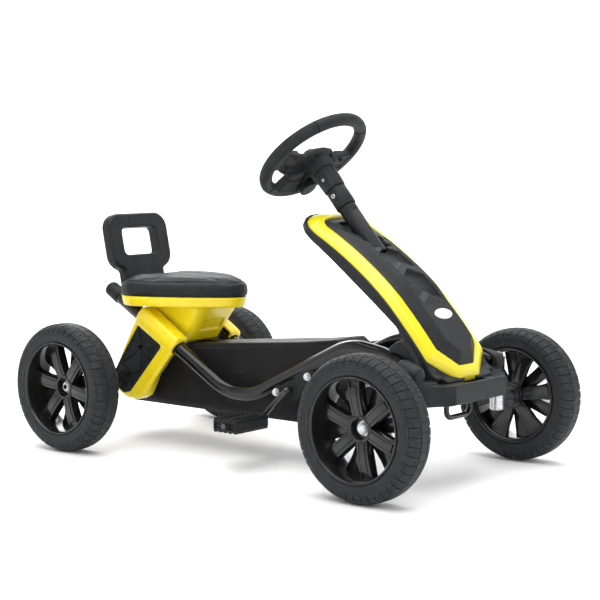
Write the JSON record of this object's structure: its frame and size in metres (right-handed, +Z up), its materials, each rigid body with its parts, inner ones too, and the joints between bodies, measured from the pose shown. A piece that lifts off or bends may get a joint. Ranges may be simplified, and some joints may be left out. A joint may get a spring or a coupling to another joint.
{
  "type": "pedal go kart",
  "caption": "Child's pedal go kart with bent side tubes, enclosed chain drive, steered front wheels, padded seat with small backrest and a sloping front fairing.",
  "frame": {"origin": "on the ground under the middle of the wheelbase, in the centre plane", "axes": "+X forward along the kart, +Y to the driver's left along the axles, +Z up"},
  "size_m": [0.98, 0.55, 0.6519],
  "materials": {
    "yellow_plastic": "gloss moulded yellow plastic",
    "black_plastic": "fine-grained black moulded plastic",
    "textured_plastic": "black plastic with moulded micro texture",
    "frame_paint": "gloss black powder coat on steel",
    "zinc_steel": "zinc-plated steel",
    "pad_vinyl": "black grained vinyl over foam",
    "grip_plastic": "satin black soft-touch plastic",
    "badge_white": "blank white oval badge",
    "bush_nylon": "natural nylon",
    "button_red": "gloss red button",
    "tyre_rubber": "matte black moulded tyre",
    "rim_plastic": "satin black moulded rim"
  },
  "bodies": {
    "chassis": {"right_side_tube": "frame_paint", "left_side_tube": "frame_paint", "tube_end_caps": "black_plastic", "rear_cross_tube": "frame_paint", "front_axle_beam": "frame_paint", "centre_tube": "frame_paint", "front_hoop": "frame_paint", "rear_axle_brackets": "frame_paint", "rear_bearings": "black_plastic", "crank_bearings": "black_plastic", "frame_bolts": "zinc_steel", "right_chain_case": "black_plastic", "left_chain_case": "black_plastic", "chain": "zinc_steel", "right_side_cover": "yellow_plastic", "left_side_cover": "yellow_plastic", "right_cover_insert": "textured_plastic", "left_cover_insert": "textured_plastic", "seat_pan": "yellow_plastic", "seat_pad": "pad_vinyl", "seat_brackets": "zinc_steel", "backrest": "black_plastic", "seat_bolts": "zinc_steel", "bumper": "black_plastic", "nose_base": "black_plastic", "nose_trim": "yellow_plastic", "nose_insert": "textured_plastic", "nose_badge": "badge_white", "column_cover": "black_plastic", "column_bushes": "bush_nylon", "column_bracket": "frame_paint"},
    "drive_axle": {"rear_axle": "zinc_steel", "rear_sprocket": "zinc_steel", "axle_spacers": "black_plastic", "rear_axle_nuts": "zinc_steel", "rear_left_tyre": "tyre_rubber", "rear_left_rim": "rim_plastic"},
    "rear_right_wheel": {"rear_right_tyre": "tyre_rubber", "rear_right_rim": "rim_plastic"},
    "crank_set": {"crank": "zinc_steel", "chainring": "zinc_steel", "pedal_clips": "zinc_steel"},
    "pedal_right": {"right_pedal": "black_plastic"},
    "pedal_left": {"left_pedal": "black_plastic"},
    "steering": {"steering_column": "frame_paint", "steering_wheel": "grip_plastic", "wheel_pad": "black_plastic", "horn_speaker": "black_plastic", "upper_collar": "black_plastic", "lower_collar": "black_plastic", "column_bolts": "zinc_steel", "drop_arm": "frame_paint"},
    "horn": {"horn_button": "button_red"},
    "knuckle_right": {"right_knuckle": "zinc_steel"},
    "knuckle_left": {"left_knuckle": "zinc_steel"},
    "track_link": {"track_rod": "zinc_steel"},
    "front_right_wheel": {"front_right_tyre": "tyre_rubber", "front_right_rim": "rim_plastic"},
    "front_left_wheel": {"front_left_tyre": "tyre_rubber", "front_left_rim": "rim_plastic"}
  },
  "joints": [
    {"name": "rear_axle_spin", "type": "hinge", "parent": "chassis", "child": "drive_axle", "pos_m": [-0.365, 0, 0.125], "axis": [0, 1, 0], "continuous": true},
    {"name": "rear_right_wheel_spin", "type": "hinge", "parent": "drive_axle", "child": "rear_right_wheel", "pos_m": [-0.365, -0.236, 0.125], "axis": [0, 1, 0], "continuous": true},
    {"name": "crank_spin", "type": "hinge", "parent": "chassis", "child": "crank_set", "pos_m": [0.08, 0, 0.145], "axis": [0, 1, 0], "continuous": true},
    {"name": "right_pedal_spin", "type": "hinge", "parent": "crank_set", "child": "pedal_right", "pos_m": [0.0199, -0.158, 0.0849], "axis": [0, 1, 0], "continuous": true},
    {"name": "left_pedal_spin", "type": "hinge", "parent": "crank_set", "child": "pedal_left", "pos_m": [0.1401, 0.158, 0.2051], "axis": [0, 1, 0], "continuous": true},
    {"name": "steering_turn", "type": "hinge", "parent": "chassis", "child": "steering", "pos_m": [0.063, 0, 0.574], "axis": [-0.6461, 0, 0.7632], "range_deg": [-28, 28]},
    {"name": "horn_press", "type": "slide", "parent": "steering", "child": "horn", "axis": [0.6461, 0, -0.7632], "range_m": [0, 0.002], "stiffness_N_per_m": 400},
    {"name": "right_knuckle_turn", "type": "hinge", "parent": "chassis", "child": "knuckle_right", "pos_m": [0.365, -0.17, 0.125], "axis": [0, 0, 1], "range_deg": [-26.59, 26.59]},
    {"name": "left_knuckle_turn", "type": "hinge", "parent": "chassis", "child": "knuckle_left", "pos_m": [0.365, 0.17, 0.125], "axis": [0, 0, 1], "range_deg": [-26.59, 26.59]},
    {"name": "track_rod_pivot", "type": "hinge", "parent": "knuckle_left", "child": "track_link", "pos_m": [0.305, 0.17, 0.19], "axis": [0, 0, 1], "range_deg": [-26.59, 26.59]},
    {"name": "front_right_wheel_spin", "type": "hinge", "parent": "knuckle_right", "child": "front_right_wheel", "pos_m": [0.365, -0.244, 0.125], "axis": [0, 1, 0], "continuous": true},
    {"name": "front_left_wheel_spin", "type": "hinge", "parent": "knuckle_left", "child": "front_left_wheel", "pos_m": [0.365, 0.244, 0.125], "axis": [0, 1, 0], "continuous": true}
  ],
  "couplings": [
    {"joint": "crank_spin", "follows": "rear_axle_spin", "ratio": 0.52},
    {"joint": "right_knuckle_turn", "follows": "steering_turn", "ratio": 0.9491},
    {"joint": "left_knuckle_turn", "follows": "steering_turn", "ratio": 0.9491},
    {"joint": "track_rod_pivot", "follows": "steering_turn", "ratio": -0.9491}
  ]
}
